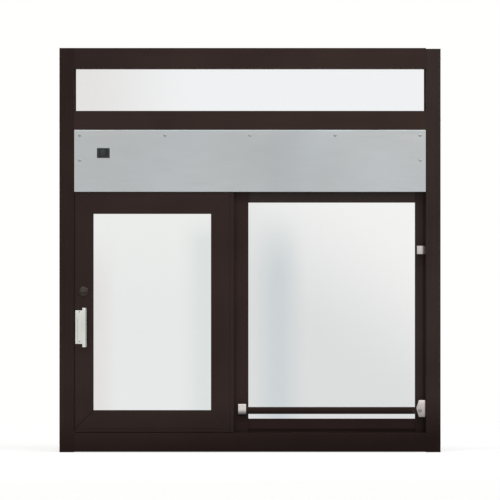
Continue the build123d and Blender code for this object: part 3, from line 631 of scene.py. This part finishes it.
def pile_tree(material):
    """Pile weatherstrip: a woven backing along each run, with tufts and a fin on it."""
    make, given = open_tree("pile_seal", {
        "Tuft Pitch": 1.1 * MM, "Tuft Height": 1.3 * MM, "Tuft Radius": 0.75 * MM, "Tuft Tip": 0.2 * MM,
        "Backing Width": 5.0 * MM, "Backing Height": 0.5 * MM, "Fin Thickness": 0.3 * MM,
        "Facing": to_left, "Seed": 3})
    path = make.add("GeometryNodeMeshToCurve", {"Mesh": given["Geometry"]})
    backing = make.add("GeometryNodeCurvePrimitiveQuadrilateral", {
        "Width": given["Backing Height"], "Height": given["Backing Width"]})
    fin = make.add("GeometryNodeCurvePrimitiveQuadrilateral", {
        "Width": given["Tuft Height"], "Height": given["Fin Thickness"]})
    strips = []
    for profile in (backing, fin):
        strip = make.add("GeometryNodeCurveToMesh", {
            "Curve": path.outputs[0], "Profile Curve": profile.outputs[0], "Fill Caps": True})
        strips.append(strip.outputs[0])
    places = make.add("GeometryNodeCurveToPoints", {"Curve": path.outputs[0], "Length": given["Tuft Pitch"]},
                      mode="LENGTH")
    tuft = make.add("GeometryNodeMeshCone", {
        "Vertices": 5, "Side Segments": 1, "Fill Segments": 1, "Radius Top": given["Tuft Tip"],
        "Radius Bottom": given["Tuft Radius"], "Depth": given["Tuft Height"]})
    toward = make.add("FunctionNodeAlignRotationToVector", {"Vector": given["Facing"]}, axis="Z")
    lean = make.add("FunctionNodeRandomValue", {
        0: (-tuft_lean, -tuft_lean, -tuft_twist), 1: (tuft_lean, tuft_lean, tuft_twist),
        "Seed": given["Seed"]}, data_type="FLOAT_VECTOR")
    tilt = make.add("FunctionNodeEulerToRotation", {0: lean.outputs[0]})
    rotation = make.add("FunctionNodeRotateRotation", {0: toward.outputs[0], 1: tilt.outputs[0]},
                        rotation_space="LOCAL")
    tufts = make.add("GeometryNodeInstanceOnPoints", {
        "Points": places.outputs[0], "Instance": tuft.outputs[0], "Rotation": rotation.outputs[0]})
    joined = make.add("GeometryNodeJoinGeometry", {"Geometry": strips + [tufts.outputs[0]]})
    return close_tree(make, joined.outputs[0], material)


# Screws of the header: seven in the cover, and seven in the street panel in its bronze
cover_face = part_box("header_cover")[0].y
panel_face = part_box("header_outer_panel")[1].y
cleat_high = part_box("cover_top_cleat")[1]
half_row = cleat_high.x - cover_screw_inset
row_step = 2 * half_row / (cover_screws_across - 1)
row_height = cleat_high.z - cover_screw_inset
side_height = cleat_high.z - side_screw_drop


def header_places(face):
    """The header's screw places on one face: a row along the top and one down each side."""
    row = [(-half_row + index * row_step, face, row_height) for index in range(cover_screws_across)]
    return row + [(-half_row, face, side_height), (half_row, face, side_height)]


cover_heads = {"Head Radius": 5.0 * MM, "Head Height": 1.8 * MM, "Dome": 1.1 * MM,
               "Recess Length": 3.4 * MM, "Recess Width": 0.9 * MM, "Recess Depth": 0.8 * MM}
screws = screw_tree(screw_steel)
bronze_screws = screw_tree(bronze_screw)
grow("cover_screws", screws, points_mesh("cover_screw_places", header_places(cover_face)), cover_heads,
     "window")
grow("street_panel_screws", bronze_screws, points_mesh("panel_screw_places", header_places(panel_face)),
     {**cover_heads, "Facing": to_street, "Seed": 9}, "window")

# Two screws through the handle's flange
handle_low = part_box("pull_handle")[0]
flange_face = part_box("sash_left_stile")[0].y - flange_sheet
handle_places = [(handle_low.x + handle_screw_inset, flange_face, handle_low.z + rise)
                 for rise in handle_screw_rises]
grow("handle_screws", screws, points_mesh("handle_screw_places", handle_places),
     {"Head Radius": 2.3 * MM, "Head Height": 1.1 * MM, "Dome": 0.6 * MM,
      "Recess Length": 3.0 * MM, "Recess Width": 0.8 * MM, "Recess Depth": 0.7 * MM, "Seed": 4},
     "window")

# Screws of the bar's fittings: through the bracket's plate, the clip's foot and the hook's back lip
small_heads = {"Head Radius": 2.6 * MM, "Head Height": 1.2 * MM, "Dome": 0.7 * MM,
               "Recess Length": 3.0 * MM, "Recess Width": 0.8 * MM, "Recess Depth": 0.7 * MM}
clip_low, clip_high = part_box("parking_clip")
bracket_depth = 0.5 * (bracket_low.y + bracket_high.y)
clip_depth = clip_high.y - clip_screw_inset
plate_face = bracket_high.x - bracket_sheet
foot_face = clip_high.x - cradle_sheet
jamb_side_places = [(plate_face, bracket_depth, bracket_high.z - fitting_screw_inset),
                    (plate_face, bracket_depth, bracket_low.z + fitting_screw_inset),
                    (foot_face, clip_depth, clip_low.z + fitting_screw_inset),
                    (foot_face, clip_depth, clip_high.z - fitting_screw_inset)]
grow("bracket_screws", screws, points_mesh("jamb_side_screw_places", jamb_side_places),
     {**small_heads, "Facing": to_left, "Seed": 6}, "window")
lip_face = hook_high.y - cradle_sheet
hook_places = [(across, lip_face, hook_high.z - fitting_screw_inset)
               for across in (hook_low.x + fitting_screw_inset, hook_high.x - fitting_screw_inset)]
grow("hook_screws", screws, points_mesh("hook_screw_places", hook_places), {**small_heads, "Seed": 8},
     "window")

# Low screws through the jambs into the ends of the head, the transom bar and the sill
low_heads = {"Head Radius": 4.5 * MM, "Head Height": 0.6 * MM, "Dome": 0.1 * MM,
             "Recess Length": 4.6 * MM, "Recess Width": 1.1 * MM, "Recess Depth": 0.5 * MM}
for jamb, facing, seed in (("left_jamb", to_left, 11), ("right_jamb", to_right, 12)):
    jamb_low, jamb_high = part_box(jamb)
    outer_face = jamb_low.x if facing is to_left else jamb_high.x
    joint_places = []
    for member in ("head", "transom_bar", "sill"):
        member_low, member_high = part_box(member)
        for depth in joint_screw_depths:
            joint_places.append((outer_face, depth, 0.5 * (member_low.z + member_high.z)))
    grow(jamb + "_joint_screws", bronze_screws, points_mesh(jamb + "_screw_places", joint_places),
         {**low_heads, "Facing": facing, "Seed": seed}, "window")

# Seams at the sash's mitres: across the lips on the room side, and across the boxes on the street side;
# the first, at the lower left of the room side, stands a little open
outer_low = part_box("sash_left_stile")[0]
outer_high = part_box("sash_right_stile")[1]
pane_low, pane_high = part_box("sash_glass")
seam_runs = []
for face_y, inset in ((outer_low.y - seam_proud + seam_depth / 2, glass_bite),
                      (outer_high.y + seam_proud - seam_depth / 2, glass_bite - glazing_lip)):
    for outer_x, inner_x in ((outer_low.x, pane_low.x + inset), (outer_high.x, pane_high.x - inset)):
        for outer_z, inner_z in ((outer_low.z, pane_low.z + inset), (outer_high.z, pane_high.z - inset)):
            seam_runs.append([(outer_x, face_y, outer_z), (inner_x, face_y, inner_z)])
seams = seam_tree(seam_shadow)
grow("sash_mitre_seams", seams, runs_mesh("mitre_runs", seam_runs[1:]), {"Seam Width": tight_seam_width},
     "window")
grow("sash_open_mitre_seam", seams, runs_mesh("open_mitre_run", seam_runs[:1]),
     {"Seam Width": open_seam_width}, "window")

# Pile seals: two rows beside the sash, one under it and one under its interlock's leaf
jamb_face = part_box("left_jamb")[1].x
guide_low, guide_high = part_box("sash_guide_channel")
sill_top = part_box("sill")[1].z
rail_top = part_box("sash_hanger_rail")[1].z
leaf_start = outer_high.x + interlock_lap
leaf_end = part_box("sash_interlock")[1].x
leaf_middle = outer_high.y - leaf_sheet / 2
street_row = guide_high.y - street_pile_inset
side_gap = outer_low.x - jamb_face
sill_gap = guide_low.z - sill_top
side_middle = jamb_face + side_gap / 2
sill_middle = sill_top + sill_gap / 2
side_runs = [[(side_middle, depth, sill_top + pile_end_gap), (side_middle, depth, rail_top)]
             for depth in (outer_low.y + room_pile_inset, street_row)]
sill_run = [(jamb_face + side_gap, street_row, sill_middle), (leaf_start, street_row, sill_middle)]
leaf_run = [(leaf_start, leaf_middle, sill_middle), (leaf_end, leaf_middle, sill_middle)]
foot_seal = {"Tuft Height": sill_gap * tuft_share, "Facing": downward}
pile = pile_tree(seal_pile)
grow("sash_side_pile", pile, runs_mesh("side_pile_run", side_runs),
     {"Tuft Height": side_gap * tuft_share, "Facing": to_left}, "window")
grow("sash_sill_pile", pile, runs_mesh("sill_pile_run", [sill_run]), {**foot_seal, "Seed": 5},
     "window")
grow("interlock_foot_pile", pile, runs_mesh("interlock_pile_run", [leaf_run]),
     {**foot_seal, "Backing Width": leaf_sheet, "Seed": 10}, "window")

# Hardware with rounded edges
softened("pull_handle", "sash_pull_handle", satin_handle, "window", edge=0.7 * MM)
softened("saddle_hook", "bar_saddle_hook", satin_hook, "window", edge=1.1 * MM,
         segments=4)
softened("parking_clip", "bar_parking_clip", satin_clip, "window", edge=1.1 * MM,
         segments=4)
softened("pivot_bracket", "bar_pivot_bracket", satin_bracket, "window", edge=0.5 * MM)
softened("pivot_pin", "bar_pivot_pin", pin_steel, "window", edge=0.8 * MM)
softened("thumb_turn", "lock_thumb_turn", lock_bronze, "thumb_turn", edge=0.9 * MM,
         segments=4)
softened("lock_collar", "lock_collar_ring", lock_bronze, "window", edge=0.8 * MM)
softened("switch_bezel", "switch_rim", black_plastic, "window", edge=0.45 * MM)
softened("switch_rocker", "switch_key", black_plastic, "rocker", edge=0.5 * MM)

# Floor and world
floor_level = cad_box[0].z - floor_gap
floor_corners = [(-floor_reach, -floor_reach, floor_level), (floor_reach, -floor_reach, floor_level),
                 (floor_reach, floor_far_edge, floor_level), (-floor_reach, floor_far_edge, floor_level)]
floor_mesh = bpy.data.meshes.new("studio_floor")
floor_mesh.from_pydata(floor_corners, [], [(0, 1, 2, 3)])
floor = Finish("pale_studio_floor", roughness=0.9, Emission_Color=rgb(1.0, 1.0, 0.99))
floor.colour(floor.blend(floor.noise(scale=1.5), rgb(0.49, 0.488, 0.484), rgb(0.51, 0.508, 0.504)))
glow = floor.math("MULTIPLY", floor.seen_rays(), floor_glow)
floor.tree.links.new(glow, floor.shader.inputs["Emission Strength"])
floor_piece = new_piece("studio_floor", floor_mesh, floor.material)

world = bpy.data.worlds.new("studio")
bpy.context.scene.world = world
world.use_nodes = True
sky = Nodes(world.node_tree)
sky.tree.nodes.clear()
white_light = sky.add("ShaderNodeBackground", {"Color": rgb(1.0, 1.0, 0.992), "Strength": 1.0})
room_light = sky.add("ShaderNodeBackground", {"Color": rgb(0.97, 0.985, 1.0), "Strength": room_strength})
mixed = sky.add("ShaderNodeMixShader", {
    0: sky.seen_rays(), 1: room_light.outputs[0], 2: white_light.outputs[0]})
sky.add("ShaderNodeOutputWorld", {"Surface": mixed.outputs[0]})


def lamp(name, kind, place, target, **settings):
    data = bpy.data.lights.new(name, kind)
    for key, value in settings.items():
        setattr(data, key, value)
    piece = bpy.data.objects.new(name, data)
    piece.location = place
    piece.rotation_euler = (Vector(target) - Vector(place)).to_track_quat("-Z", "Y").to_euler()
    bpy.context.scene.collection.objects.link(piece)


lamp("soft_sun", "SUN", place=(-0.4, -3.6, 4.8), target=(0, 0, 0.6), energy=sun_strength,
     angle=sun_softness)
lamp("upper_right_softbox", "AREA", place=(1.6, -2.6, 2.6), target=(0.1, 0, 0.8), energy=softbox_power,
     shape="RECTANGLE", size=softbox_width, size_y=softbox_height)

# Camera, as far off as it takes to look straight on without perspective
middle_z = (sill_underside_pixel - photo_pixels / 2) * photo_mm_per_pixel * MM
camera_data = bpy.data.cameras.new("photo_camera")
camera_data.sensor_width = sensor_width
camera_data.lens = sensor_width * camera_distance / (photo_pixels * photo_mm_per_pixel * MM)
camera_data.clip_end = camera_reach
camera = bpy.data.objects.new("photo_camera", camera_data)
bpy.context.scene.collection.objects.link(camera)
camera.location = (0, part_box("head")[0].y - camera_distance, middle_z)
camera.rotation_euler = (math.pi / 2, 0, 0)
bpy.context.scene.camera = camera
bpy.context.scene.view_settings.view_transform = "Standard"
